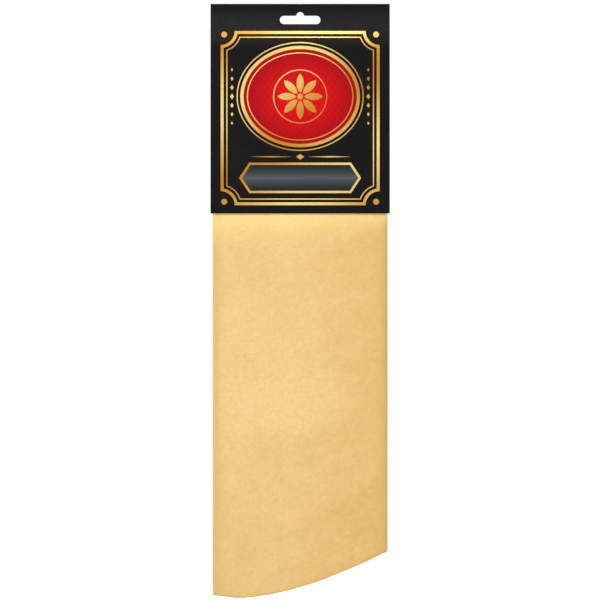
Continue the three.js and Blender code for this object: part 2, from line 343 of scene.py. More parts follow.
def red_print_shader():
    """Red ink with a lattice of fine diamonds, brighter in the middle of the medallion."""
    s = Shader("red_print", Specular_IOR_Level=0.09)
    place = s.place()
    x, _, z = s.axes(place)
    from_middle = s.math("SUBTRACT", z, MEDALLION_Z)
    out_x = s.math("DIVIDE", x, MEDALLION_HALF_WIDTH)
    out_z = s.math("DIVIDE", from_middle, MEDALLION_HALF_HEIGHT)
    out = s.math("SQRT", s.math("ADD", s.math("POWER", out_x, 2), s.math("POWER", out_z, 2)))
    colour = s.mix(s.spread(out, 0.2, 1.0), srgb(230, 10, 20), srgb(160, 3, 12))
    upright = s.math("DIVIDE", x, LATTICE_WIDTH)
    level = s.math("DIVIDE", from_middle, LATTICE_HEIGHT)
    rising, falling = [
        s.spread(s.math("PINGPONG", s.math(operation, upright, level), 0.5), 0.0, 0.12, 1, 0)
        for operation in ("ADD", "SUBTRACT")
    ]
    lines = s.math("MULTIPLY", s.math("MAXIMUM", rising, falling), 0.55)
    colour = s.mix(lines, colour, srgb(140, 8, 16))
    return finish_print(s, place, colour)


def grey_print_shader():
    """Dark grey ink that lightens to a soft band along the middle of the plaque."""
    s = Shader("grey_print", Specular_IOR_Level=0.09)
    place = s.place()
    _, _, z = s.axes(place)
    from_middle = s.math("ABSOLUTE", s.math("SUBTRACT", z, PLAQUE_Z))
    shade = s.math("POWER", s.spread(from_middle, 0, 0.9 * PLAQUE_HALF_HEIGHT), 0.6)
    colour = s.mix(shade, srgb(84, 91, 94), srgb(12, 20, 21))
    return finish_print(s, place, colour)


def gold_print_shader():
    """Gold foil that runs from pale to deep and back along the diagonal."""
    s = Shader("gold_foil", Metallic=0.6, Specular_IOR_Level=0.4)
    place = s.place()
    x, _, z = s.axes(place)
    along = s.math("MULTIPLY", s.math("SUBTRACT", x, s.math("MULTIPLY", z, 1.3)), GOLD_WAVES)
    sheen = s.spread(s.math("SINE", along), -1, 1)
    colour = s.mix(sheen, srgb(180, 121, 22), srgb(223, 194, 110))
    return finish_print(s, place, colour)


def board_shader(name, light, dark, fibre_sizes):
    """Bare board: the uncoated inside face, or a cut edge."""
    s = Shader(name, Roughness=0.88, Specular_IOR_Level=0.2)
    place = s.place()
    fibre = s.noise(s.stretched(place, fibre_sizes), 1.0, 4, 0.7)
    specks = s.spread(s.noise(place, 900, 2, 0.5), 0.66, 0.74, 0, 0.5)
    colour = s.mix(s.spread(fibre, 0.3, 0.7), light, dark)
    colour = s.mix(specks, colour, srgb(150, 138, 120))
    return s.finished(Base_Color=colour, Normal=s.bump(fibre, 0.04 * MM, 0.5))


def steel_shader():
    """Drawn wire, a little dulled."""
    s = Shader("staple_steel", Metallic=1.0)
    place = s.place()
    drawn = s.noise(s.stretched(place, (3 * MM, 0.08 * MM, 0.08 * MM)), 1.0, 3, 0.7)
    dull = s.noise(place, 900, 3, 0.6)
    colour = s.mix(s.spread(dull, 0.35, 0.7), srgb(196, 198, 202), srgb(150, 151, 153))
    rough = s.spread(drawn, 0.3, 0.7, 0.22, 0.42)
    return s.finished(Base_Color=colour, Roughness=rough, Normal=s.bump(drawn, 0.02 * MM, 0.6))


def glue_shader():
    """Milky glue with a little dust in it."""
    s = Shader(
        "glue_dot",
        Roughness=0.22,
        Subsurface_Weight=0.35,
        Subsurface_Scale=1.5 * MM,
        Coat_Weight=0.4,
        Coat_Roughness=0.12,
    )
    place = s.place()
    cloud = s.noise(place, 260, 3, 0.6)
    dust = s.spread(s.noise(place, 1500, 2, 0.5), 0.66, 0.74, 0, 0.5)
    colour = s.mix(s.spread(cloud, 0.35, 0.65), srgb(230, 228, 219), srgb(214, 211, 199))
    colour = s.mix(dust, colour, srgb(150, 140, 120))
    return s.finished(Base_Color=colour, Normal=s.bump(cloud, 0.08 * MM, 0.6))


# Meshes and outlines
def new_object(name, vertices, faces, materials, indices=None, smooth=True):
    mesh = bpy.data.meshes.new(name)
    mesh.from_pydata(vertices, [], faces)
    for material in materials:
        mesh.materials.append(material)
    if indices is not None:
        mesh.polygons.foreach_set("material_index", np.asarray(indices, np.int32))
    mesh.polygons.foreach_set("use_smooth", np.full(len(faces), smooth))
    mesh.update()
    made = bpy.data.objects.new(name, mesh)
    bpy.context.scene.collection.objects.link(made)
    return made


@contextmanager
def edited(piece):
    """The piece's mesh, open for editing and written back at the end of the block."""
    bm = bmesh.new()
    bm.from_mesh(piece.data)
    yield bm
    bm.to_mesh(piece.data)
    bm.free()


def face_outward(piece):
    with edited(piece) as bm:
        bmesh.ops.recalc_face_normals(bm, faces=bm.faces)


def apply_modifier(piece, kind, **settings):
    modifier = piece.modifiers.new(kind.lower(), kind)
    for key, value in settings.items():
        setattr(modifier, key, value)
    evaluated = piece.evaluated_get(bpy.context.evaluated_depsgraph_get())
    mesh = bpy.data.meshes.new_from_object(evaluated)
    piece.modifiers.clear()
    old = piece.data
    piece.data = mesh
    bpy.data.meshes.remove(old)


def smooth_share(value, low, high):
    """0 up to low, 1 from high on, and a smooth rise between them."""
    t = np.clip((np.asarray(value, float) - low) / (high - low), 0, 1)
    return t * t * (3 - 2 * t)


def soft_noise(x, z, size, seed):
    """Smooth noise from -1 to 1 whose lumps are about that size, at each point of two arrays."""
    flat = [noise.noise(Vector((a / size, b / size, seed))) for a, b in zip(x.ravel(), z.ravel())]
    return np.array(flat).reshape(x.shape)


def unit_rows(rows):
    return rows / np.linalg.norm(rows, axis=1)[:, None]


def arc(cx, cz, radius, start, end, points=14):
    """Points round a centre, from one angle in degrees to another."""
    angles = np.linspace(math.radians(start), math.radians(end), points)
    return [(cx + radius * math.cos(a), cz + radius * math.sin(a)) for a in angles]


def circle(cx, cz, radius, points=96):
    return arc(cx, cz, radius, 0, 360, points + 1)[:-1]


def around(count):
    """Each point of a closed outline with the next one, by number."""
    return [(i, (i + 1) % count) for i in range(count)]


def divided(outline, parts_of):
    """A closed outline with more points. parts_of tells how many parts a side is cut into."""
    points = []
    for i, j in around(len(outline)):
        (x0, z0), (x1, z1) = outline[i], outline[j]
        parts = parts_of(i, math.hypot(x1 - x0, z1 - z0))
        points += [(x0 + (x1 - x0) * k / parts, z0 + (z1 - z0) * k / parts) for k in range(parts)]
    return points


# Header card
BOARD = 0.5 * MM
CREASE_STRAIGHT = 3 * MM
SHOULDER_LEAD = 2 * MM
SHOULDER_TOP = PANEL_END - CREASE_STRAIGHT
SHOULDER_END = SKIN_HIGH.z + SHOULDER_LEAD
NEAR_DEPTH = BOARD / 2 - FRONT_HIGH.y
FAR_DEPTH = -FRONT_LOW.y - BOARD / 2
BACK_DEPTH = BACK_HIGH.y - BOARD / 2
CORNER_LIFT = 0.7 * MM
ACROSS_STEPS = 72
SHOULDER_POINTS = 40
LOWER_POINTS = 50
BACK_POINTS = 60
FOLD_POINTS = 25
SHARP_ANGLE = math.radians(40)
PRINTED, INSIDE, EDGE = range(3)
FACE_FIBRE = (3 * MM, 3 * MM, 1 * MM)
EDGE_FIBRE = (5 * MM, 0.2 * MM, 0.2 * MM)


def front_depth(z):
    """How far in front of the fold's centre plane the middle of the front panel's board is."""
    return NEAR_DEPTH + (FAR_DEPTH - NEAR_DEPTH) * smooth_share(-z, -SHOULDER_TOP, -SHOULDER_END)


def panel_lift(x, z):
    """The front panel's free lower corners stand a little off the leather."""
    down = smooth_share(-z, -SHOULDER_END, -CARD_BOTTOM)
    out = np.abs(x) / CARD_HALF_WIDTH
    return CORNER_LIFT * down**2 * out**3


def front_panel_path():
    """Close to the back panel under the crease, then out over the leather in one smooth swell."""
    shoulder = np.linspace(SHOULDER_TOP, SHOULDER_END, SHOULDER_POINTS)
    lower = np.linspace(SHOULDER_END, CARD_BOTTOM, LOWER_POINTS)
    z = np.concatenate([[PANEL_END], shoulder, lower[1:]])
    path = np.column_stack([-front_depth(z), z])
    along = unit_rows(np.gradient(path, axis=0))
    return path, np.column_stack([along[:, 1], -along[:, 0]])


def back_panel_path():
    z = np.linspace(PANEL_END, CARD_BOTTOM, BACK_POINTS)
    path = np.column_stack([np.full(len(z), BACK_DEPTH), z])
    return path, np.tile([1.0, 0.0], (len(z), 1))


def crease_path():
    """Half round, from the back panel's top edge over to the front panel's."""
    rise = CARD_TOP - BOARD / 2 - PANEL_END
    turn = np.linspace(0, math.pi, FOLD_POINTS)
    path = np.column_stack([BACK_DEPTH * np.cos(turn), PANEL_END + rise * np.sin(turn)])
    outward = np.column_stack([rise * np.cos(turn), BACK_DEPTH * np.sin(turn)])
    return path, unit_rows(outward)


def board_solid(name, path, outward, materials, lift=None):
    """Board of one thickness that follows a path of (y, z) points, across the card's width."""
    xs = np.linspace(-CARD_HALF_WIDTH, CARD_HALF_WIDTH, ACROSS_STEPS + 1)
    rows, columns = len(path), len(xs)
    vertices = []
    for side in (1, -1):
        for y, z in path + side * BOARD / 2 * outward:
            shift = np.zeros(columns) if lift is None else lift(xs, z)
            vertices += [(x, y - dy, z) for x, dy in zip(xs, shift)]

    def at(side, row, column):
        return (side * rows + row) * columns + column

    faces, indices = [], []
    for r in range(rows - 1):
        for c in range(columns - 1):
            faces.append([at(0, r, c), at(0, r, c + 1), at(0, r + 1, c + 1), at(0, r + 1, c)])
            faces.append([at(1, r, c), at(1, r + 1, c), at(1, r + 1, c + 1), at(1, r, c + 1)])
            indices += [PRINTED, INSIDE]
    for r in range(rows - 1):
        for c in (0, columns - 1):
            faces.append([at(0, r, c), at(0, r + 1, c), at(1, r + 1, c), at(1, r, c)])
    for c in range(columns - 1):
        for r in (0, rows - 1):
            faces.append([at(0, r, c), at(1, r, c), at(1, r, c + 1), at(0, r, c + 1)])
    indices += [EDGE] * (len(faces) - len(indices))
    made = new_object(name, vertices, faces, materials, indices)
    face_outward(made)
    return made


def sharpen(piece):
    """Smooth faces, with creases kept where they meet at a sharp angle."""
    piece.data.polygons.foreach_set("use_smooth", np.full(len(piece.data.polygons), True))
    with edited(piece) as bm:
        for edge in bm.edges:
            edge.smooth = len(edge.link_faces) == 2 and edge.calc_face_angle(0.0) < SHARP_ANGLE


# Hanging slot
SLOT_WIDTH = 32 * MM
SLOT_HEIGHT = 6.6 * MM
LOBE_RADIUS = 2.95 * MM
LOBE_FILLET = 0.7 * MM
FILLET_POINTS = 6
CUT_OVERRUN = 5 * MM


def slot_outline():
    """A long slot with round ends, and a lobe on its upper edge that meets it in two fillets."""
    top = -LOBE_RADIUS
    end = SLOT_HEIGHT / 2
    middle = top - end
    end_x = SLOT_WIDTH / 2 - end
    reach = math.sqrt((LOBE_RADIUS + LOBE_FILLET) ** 2 - LOBE_FILLET**2)
    tilt = math.degrees(math.atan2(LOBE_FILLET, reach))
    return (
        arc(end_x, middle, end, -90, 90)
        + arc(reach, top + LOBE_FILLET, LOBE_FILLET, -90, -180 + tilt, FILLET_POINTS)
        + arc(0, top, LOBE_RADIUS, tilt, 180 - tilt)[1:-1]
        + arc(-reach, top + LOBE_FILLET, LOBE_FILLET, -tilt, -90, FILLET_POINTS)
        + arc(-end_x, middle, end, 90, 270)
    )


def cut_slot(board, edge_material):
    outline = slot_outline()
    count = len(outline)
    front, back = FRONT_LOW.y - CUT_OVERRUN, BACK_HIGH.y + CUT_OVERRUN
    vertices = [(x, y, z) for y in (front, back) for x, z in outline]
    faces = [list(range(count)), list(range(2 * count - 1, count - 1, -1))]
    faces += [[j, i, i + count, j + count] for i, j in around(count)]
    cutter = new_object("slot_cutter", vertices, faces, [edge_material])
    face_outward(cutter)
    apply_modifier(
        board,
        "BOOLEAN",
        operation="DIFFERENCE",
        object=cutter,
        solver="EXACT",
        material_mode="TRANSFER",
    )
    bpy.data.objects.remove(cutter)


def make_card():
    inside = board_shader("board_inside", srgb(228, 223, 212), srgb(213, 206, 192), FACE_FIBRE)
    edge = board_shader("board_edge", srgb(196, 188, 174), srgb(150, 142, 130), EDGE_FIBRE)
    materials = [black_print_shader(), inside, edge]
    front = board_solid("card_front", *front_panel_path(), materials, panel_lift)
    back = board_solid("card_back", *back_panel_path(), materials)
    crease = board_solid("card_crease", *crease_path(), materials)
    for panel in (front, back):
        cut_slot(panel, edge)
    for piece in (front, back, crease):
        sharpen(piece)
    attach(front, FRONT_BODY)
    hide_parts("card_front_panel")
    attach(back, REAR_BODY)
    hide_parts("card_back_panel")
    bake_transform(crease)


# Ornament on the front panel
FOIL = 0.05 * MM
PRINT_SUNK = 0.01 * MM
MERGE_DISTANCE = 1e-4 * MM
LONGEST_SIDE = 2.5 * MM
GOLD_WAVES = 40.0
FRAME_HALF_WIDTH = 62.5 * MM
FRAME_TOP = -15 * MM
FRAME_BOTTOM = -152 * MM
FRAME_LINES = ((0.0, 2.3 * MM), (4.4 * MM, 5.3 * MM))
FRAME_SIDE_PARTS = 60
SCOOP = 11 * MM
SCOOP_POINTS = 16
CORNER_DOT = 2.3 * MM
CORNER_DOT_INSET = 1.2 * CORNER_DOT
MEDALLION_Z = -66.5 * MM
MEDALLION_HALF_WIDTH = 44.5 * MM
MEDALLION_HALF_HEIGHT = 37.3 * MM
MEDALLION_LINES = ((0.0, 2.6 * MM), (4.6 * MM, 5.5 * MM), (-3.4 * MM, -2.6 * MM))
MEDALLION_POINTS = 144
LATTICE_WIDTH = 5 * MM
LATTICE_HEIGHT = 7 * MM
PETALS = 8
PETAL_LENGTH = 14.6 * MM
PETAL_WIDTH = 5.6 * MM
PETAL_TAPER = 0.6
PETAL_POINTS = 40
ROSETTE_HOLE = 3.2 * MM
ROSETTE_EYE = 2.2 * MM
ROSETTE_RING = (20.5 * MM, 21.3 * MM)
PLAQUE_Z = -130.5 * MM
PLAQUE_HALF_WIDTH = 48 * MM
PLAQUE_HALF_HEIGHT = 12 * MM
PLAQUE_POINT = 8 * MM
PLAQUE_LINE = 1.8 * MM
PLAQUE_SIDE_PARTS = 24
DIVIDER_BAR_X = 23 * MM
SIDE_BEADS = 7
SIDE_BEADS_X = 53.6 * MM
SIDE_BEAD_PITCH = 7 * MM

# Half the width and half the height of each kind of lozenge
DIVIDER_LOZENGE = (3.2 * MM, 2.2 * MM)
DIVIDER_BAR = (17 * MM, 0.55 * MM)
SIDE_BEAD = (1.5 * MM, 2.4 * MM)


def on_panel(x, z, height):
    """A point of the ornament, at that height over the front panel's printed face."""
    return (x, -front_depth(z) - BOARD / 2 - panel_lift(x, z) - height, z)


def ring(inner, outer, material, height=2 * FOIL, steps=1):
    """A thin closed print between two outlines of as many points, in that many strips."""
    inner, outer = np.asarray(inner, float), np.asarray(outer, float)
    count = len(outer)
    outlines = [inner + (outer - inner) * k / steps for k in range(steps + 1)]
    vertices = []
    for level in (height, -PRINT_SUNK):
        for outline in outlines:
            vertices += [on_panel(x, z, level) for x, z in outline]
    under = len(outlines) * count
    faces = []
    for near in range(0, steps * count, count):
        far = near + count
        for i, j in around(count):
            top = [near + i, near + j, far + j, far + i]
            faces += [top, [under + v for v in reversed(top)]]
    for start, flip in ((0, False), (steps * count, True)):
        for i, j in around(count):
            wall = [start + i, under + start + i, under + start + j, start + j]
            faces.append(wall[::-1] if flip else wall)
    piece = new_object("print", vertices, faces, [material], smooth=False)
    with edited(piece) as bm:
        bmesh.ops.remove_doubles(bm, verts=bm.verts, dist=MERGE_DISTANCE)
        bmesh.ops.dissolve_degenerate(bm, edges=bm.edges, dist=MERGE_DISTANCE)
        bmesh.ops.recalc_face_normals(bm, faces=bm.faces)
    return piece


def patch(outline, centre, material, height=2 * FOIL, steps=3):
    """A print that fills an outline: a ring whose inner outline is drawn up in one point."""
    return ring([centre] * len(outline), outline, material, height, steps)


def lozenge(x, z, half_width, half_height, material):
    corners = [(x + half_width, z), (x, z + half_height), (x - half_width, z), (x, z - half_height)]
    outline = divided(corners, lambda i, length: max(1, math.ceil(length / LONGEST_SIDE)))
    return patch(outline, (x, z), material, steps=1)


def framed(inset):
    """The frame's outline with scooped corners, drawn in from its edge by the same width all round."""
    radius = SCOOP + inset
    lean = math.degrees(math.asin(inset / radius))
    corners = (
        (FRAME_HALF_WIDTH, FRAME_TOP, 270),
        (-FRAME_HALF_WIDTH, FRAME_TOP, 360),
        (-FRAME_HALF_WIDTH, FRAME_BOTTOM, 90),
        (FRAME_HALF_WIDTH, FRAME_BOTTOM, 180),
    )
    outline = []
    for cx, cz, start in corners:
        outline += arc(cx, cz, radius, start - lean, start - 90 + lean, SCOOP_POINTS)
    return divided(outline, lambda i, length: 1 if (i + 1) % SCOOP_POINTS else FRAME_SIDE_PARTS)


def frame_prints(gold):
    """The double frame, and a dot in each scooped corner."""
    prints = [ring(framed(far), framed(near), gold) for near, far in FRAME_LINES]
    for z in (FRAME_TOP - CORNER_DOT_INSET, FRAME_BOTTOM + CORNER_DOT_INSET):
        for side in (1, -1):
            x = side * (FRAME_HALF_WIDTH - CORNER_DOT_INSET)
            prints.append(patch(circle(x, z, CORNER_DOT, 32), (x, z), gold))
    return prints


def medallion(outset):
    turn = np.linspace(0, 2 * math.pi, MEDALLION_POINTS + 1)[:-1]
    x = (MEDALLION_HALF_WIDTH + outset) * np.cos(turn)
    z = MEDALLION_Z + (MEDALLION_HALF_HEIGHT + outset) * np.sin(turn)
    return np.column_stack([x, z])


def petal(angle):
    """One pointed petal of the rosette, and its middle."""
    turn = np.linspace(0, 2 * math.pi, PETAL_POINTS + 1)[:-1]
    along = ROSETTE_HOLE + PETAL_LENGTH / 2 * (1 + np.cos(turn))
    aside = PETAL_WIDTH / 2 * np.sin(turn) * np.abs(np.sin(turn)) ** PETAL_TAPER
    c, s = math.cos(angle), math.sin(angle)
    outline = [(a * c - b * s, MEDALLION_Z + a * s + b * c) for a, b in zip(along, aside)]
    middle = ROSETTE_HOLE + PETAL_LENGTH / 2
    return outline, (middle * c, MEDALLION_Z + middle * s)


def medallion_prints(gold, red):
    """A red field in gold lines, with a rosette in its middle."""
    middle = (0, MEDALLION_Z)
    prints = [patch(medallion(0), middle, red, FOIL, steps=20)]
    prints += [ring(medallion(near), medallion(far), gold) for near, far in MEDALLION_LINES]
    prints.append(ring(*(circle(*middle, radius) for radius in ROSETTE_RING), gold))
    prints.append(patch(circle(*middle, ROSETTE_EYE, 40), middle, gold))
    for i in range(PETALS):
        prints.append(patch(*petal(2 * math.pi * i / PETALS), gold))
    return prints


def divider_prints(gold):
    """A lozenge between two tapered bars, midway from the medallion to the plaque."""
    medallion_foot = MEDALLION_Z - MEDALLION_HALF_HEIGHT - MEDALLION_LINES[1][1]
    z = (medallion_foot + PLAQUE_Z + PLAQUE_HALF_HEIGHT) / 2
    bars = [lozenge(side * DIVIDER_BAR_X, z, *DIVIDER_BAR, gold) for side in (1, -1)]
    return [lozenge(0, z, *DIVIDER_LOZENGE, gold), *bars]


def plaque(inset):
    """A long hexagon, drawn in from its edge by the same width all round."""
    half_height = PLAQUE_HALF_HEIGHT - inset
    slope = math.hypot(PLAQUE_POINT, PLAQUE_HALF_HEIGHT) / PLAQUE_HALF_HEIGHT
    point = PLAQUE_HALF_WIDTH - inset * slope
    shoulder = point - PLAQUE_POINT * half_height / PLAQUE_HALF_HEIGHT
    top, foot = PLAQUE_Z + half_height, PLAQUE_Z - half_height
    upper = [(point, PLAQUE_Z), (shoulder, top), (-shoulder, top)]
    lower = [(-point, PLAQUE_Z), (-shoulder, foot), (shoulder, foot)]
    return divided(upper + lower, lambda i, length: PLAQUE_SIDE_PARTS)


def plaque_prints(gold, grey):
    field = patch(plaque(0), (0, PLAQUE_Z), grey, FOIL, steps=12)
    return [field, ring(plaque(PLAQUE_LINE), plaque(0), gold)]


def bead_prints(gold):
    """A row of beads on each side of the medallion, smaller towards its ends."""
    prints = []
    for side in (1, -1):
        for i in range(SIDE_BEADS):
            step = i - (SIDE_BEADS - 1) / 2
            half_sizes = [half * (1 - abs(step) / SIDE_BEADS) for half in SIDE_BEAD]
            z = MEDALLION_Z + step * SIDE_BEAD_PITCH
            prints.append(lozenge(side * SIDE_BEADS_X, z, *half_sizes, gold))
    return prints


def join_pieces(name, pieces):
    """One object from several, with their materials kept."""
    materials, vertices, faces, indices = [], [], [], []
    for piece in pieces:
        mesh = piece.data
        if mesh.materials[0] not in materials:
            materials.append(mesh.materials[0])
        start = len(vertices)
        vertices += [tuple(v.co) for v in mesh.vertices]
        faces += [[start + v for v in p.vertices] for p in mesh.polygons]
        indices += [materials.index(mesh.materials[0])] * len(mesh.polygons)
        bpy.data.objects.remove(piece)
        bpy.data.meshes.remove(mesh)
    return new_object(name, vertices, faces, materials, indices, smooth=False)


def make_ornament():
    gold, red, grey = gold_print_shader(), red_print_shader(), grey_print_shader()
    prints = frame_prints(gold) + medallion_prints(gold, red) + divider_prints(gold)
    prints += plaque_prints(gold, grey) + bead_prints(gold)
    ornament = join_pieces("card_ornament", prints)
    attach(ornament, FRONT_BODY)


make_card()
make_ornament()

# Chamois skin
LEATHER = 0.9 * MM
HIDE_UNEVEN = 0.12
HIDE_LUMPS = 22 * MM
THIN_EDGE = 0.6
THIN_EDGE_REACH = 1.6 * MM
SKIN_LENGTH = SKIN_HIGH.z - SKIN_LOW.z
SKIN_HALF_WIDTH = 250 * MM
BACK_HALF_SHORT = 1.6 * MM
PINCHED_GAP = 0.5 * MM
LOOSE_GAP = 1.2 * MM
SEAT_GAP = 0.3 * MM
SKIN_STACK = 4 * LEATHER + 3 * PINCHED_GAP
SKIN_MIDDLE = BACK_HIGH.y - BOARD - SEAT_GAP - SKIN_STACK / 2
SKIN_FRONT = SKIN_MIDDLE - SKIN_STACK / 2
FOLDED_HALF_WIDTH = SKIN_HIGH.x
LEFT_EDGE = -FOLDED_HALF_WIDTH + LEATHER / 2
RIGHT_EDGE = FOLDED_HALF_WIDTH - LEATHER / 2
NEAR_FOLD = 0.14
HEM_WAVE = 0.25 * MM
HEM_WAVES = 40
SKIN_ROWS = 168
ROW_CROWDING = 0.55
STRETCH_STEPS = {"centre_fold": 10, "cover": 62, "edge_fold": 16, "flap": 56}
FLAP_CROWDING = 1.6

# How many layer pitches the front and the back half lie from the middle of the stack
LEVELS = {1: 1.5, -1: 0.5}

# The outline: the share of the half width, then the share of the length that the edge stands in
NECK_EDGE_SHARES = (
    (0, 0), (0.2, 0.004), (0.4, 0.019), (0.55, 0.045), (0.66, 0.08), (0.76, 0.125),
    (0.86, 0.19), (0.93, 0.258), (0.975, 0.33), (1, 0.45),
)
RUMP_EDGE_SHARES = (
    (0, 0.0052), (0.08, 0), (0.16, 0.0045), (0.29, 0.0225), (0.42, 0.0505), (0.55, 0.0855),
    (0.66, 0.124), (0.76, 0.174), (0.86, 0.248), (0.93, 0.318), (0.975, 0.39), (1, 0.5),
)

Column = namedtuple("Column", "half stretch share width_share flap_length")


def through_points(shares):
    """A smooth curve through the points: cubic pieces whose slopes are the neighbours' mean slope."""
    xs, ys = np.array(shares, float).T
    slopes = np.gradient(ys, xs)

    def curve(x):
        x = np.clip(x, 0, 1)
        i = np.clip(np.searchsorted(xs, x) - 1, 0, len(xs) - 2)
        h = xs[i + 1] - xs[i]
        t = (x - xs[i]) / h
        return (
            (2 * t**3 - 3 * t**2 + 1) * ys[i]
            + (t**3 - 2 * t**2 + t) * h * slopes[i]
            + (3 * t**2 - 2 * t**3) * ys[i + 1]
            + (t**3 - t**2) * h * slopes[i + 1]
        )

    return curve


neck_edge = through_points(NECK_EDGE_SHARES)
rump_edge = through_points(RUMP_EDGE_SHARES)


def flat_area():
    widths = np.linspace(0, 1, 400)
    lengths = SKIN_LENGTH * (1 - neck_edge(widths) - rump_edge(widths))
    return 2 * SKIN_HALF_WIDTH * float(lengths.mean())


# How the layers open below the card, and how the hanging stack bellies forward
OPENING_AT_CARD = 0.45
OPENING_REACH = (-4 * MM, 16 * MM)
OPENING_POWER = 1.5
OPENING_UNEVEN = 0.35
OPENING_LUMPS = 55 * MM
BELLY = 0.7 * MM
BELLY_REACH = (-2 * MM, 14 * MM)
SWAY_FREE = 0.5

# How the stack sways: the distance, the size of the waves and the noise's seed
SWAYS = ((1.5 * MM, 120 * MM, 7.7), (0.45 * MM, 45 * MM, 1.3))


def below_card(z):
    """The share of the way from the card's lower edge to the skin's lowest point."""
    return np.clip((CARD_BOTTOM - z) / (CARD_BOTTOM - SKIN_LOW.z), 0, 1)


def layer_pitch(x, z):
    """From one layer's middle to the next: pinched in the card, and easing open below it."""
    at_card = OPENING_AT_CARD * smooth_share(CARD_BOTTOM - z, *OPENING_REACH)
    below = (1 - OPENING_AT_CARD) * below_card(z) ** OPENING_POWER
    uneven = 1 + OPENING_UNEVEN * soft_noise(x, z, OPENING_LUMPS, seed=3.1)
    return LEATHER + PINCHED_GAP + (LOOSE_GAP - PINCHED_GAP) * (at_card + below) * uneven


def sway(x, z):
    """How far the whole hanging stack stands off its plane."""
    waves = sum(distance * soft_noise(x, z, size, seed) for distance, size, seed in SWAYS)
    belly = BELLY * smooth_share(CARD_BOTTOM - z, *BELLY_REACH)
    return smooth_share(below_card(z), 0, SWAY_FREE) * waves - belly


def skin_columns():
    """Columns from the front half's flank, over the centre line, to the back half's flank."""
    pitch = LEATHER + PINCHED_GAP
    halves = []
    for half in (1, -1):
        lengths = {
            "centre_fold": math.pi / 4 * pitch,
            "cover": (RIGHT_EDGE - LEVELS[1] * pitch) - (LEFT_EDGE + pitch / 2),
            "edge_fold": math.pi * LEVELS[half] * pitch,
        }
        lengths["flap"] = SKIN_HALF_WIDTH - sum(lengths.values())
        columns, start = [], 0.0
        for stretch, steps in STRETCH_STEPS.items():
            crowding = FLAP_CROWDING if stretch == "flap" else 1
            for i in range(1 if columns else 0, steps + 1):
                share = 1 - (1 - i / steps) ** crowding
                width_share = (start + share * lengths[stretch]) / SKIN_HALF_WIDTH
                columns.append(Column(half, stretch, share, width_share, lengths["flap"]))
            start += lengths[stretch]
        halves.append(columns)
    front, back = halves
    return front[::-1] + back[1:]


def folded_place(column, z):
    """x of the leather's middle down one column, and how far behind the stack's middle it lies."""
    half, stretch, share, _, flap_length = column
    left_pitch = layer_pitch(np.full_like(z, LEFT_EDGE), z)
    right_pitch = layer_pitch(np.full_like(z, RIGHT_EDGE), z)
    left = LEFT_EDGE + left_pitch / 2
    right = RIGHT_EDGE - LEVELS[1] * right_pitch
    level = LEVELS[half]
    if stretch == "centre_fold":
        turn = share * math.pi / 2
        x = left - left_pitch / 2 * math.cos(turn)
        return x, -left_pitch - half * left_pitch / 2 * math.sin(turn)
    if stretch == "cover":
        x = left + share * (right - left)
        near_right = smooth_share(share, 1 - NEAR_FOLD, 1.0)
        near_left = 1 - smooth_share(share, 0, NEAR_FOLD)
        pitch = layer_pitch(x, z) * (1 - near_right - near_left)
        pitch = pitch + right_pitch * near_right + left_pitch * near_left
        return x, -level * pitch
    if stretch == "edge_fold":
        turn = share * math.pi
        radius = level * right_pitch
        return right + radius * math.sin(turn), -radius * math.cos(turn)
    x = right - share * flap_length
    near_right = 1 - smooth_share(share, 0, NEAR_FOLD)
    pitch = layer_pitch(x, z) * (1 - near_right) + right_pitch * near_right
    return x, level * pitch


# Where the front layer swells round the staples, and how the free flanks curl
PILLOW_HEIGHT = 0.6 * MM
PILLOW_AWAY = 6 * MM
PILLOW_REACH = 3.6 * MM
PINCH_REACH = 2.6 * MM
OUTER_CURL = 2.2 * MM
INNER_CURL = 0.6 * OUTER_CURL
CURL_WIDTH = 30 * MM
CURL_FREE = 30 * MM
CURL_MEAN = 0.7
CURL_UNEVEN = 0.5
CURL_LUMPS = 60 * MM


def staple_pillow(x, z):
    """The front layer comes up to each staple's clinched legs, and swells round them."""
    rise = np.zeros_like(z)
    for side in ("left", "right"):
        low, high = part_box(f"staple_{side}")
        along = np.maximum(np.maximum(low.x - x, x - high.x), 0)
        away = np.hypot(along, z - (low.z + high.z) / 2)
        swell = PILLOW_HEIGHT * np.exp(-(((away - PILLOW_AWAY) / PILLOW_REACH) ** 2))
        seated = SEAT_GAP * np.exp(-((away / PINCH_REACH) ** 2))
        rise = np.maximum(rise, np.maximum(swell, seated))
    return rise


def free_edge_curl(half, from_flank, x, z):
    """The free flank edges at the back curl off the stack a little, the outer one more."""
    near = 1 - smooth_share(from_flank, 0, CURL_WIDTH)
    uneven = CURL_MEAN + CURL_UNEVEN * soft_noise(x, z, CURL_LUMPS, seed=9.2)
    free = smooth_share(CARD_BOTTOM - z, 0, CURL_FREE)
    return (OUTER_CURL if half > 0 else INNER_CURL) * near**2 * uneven * free


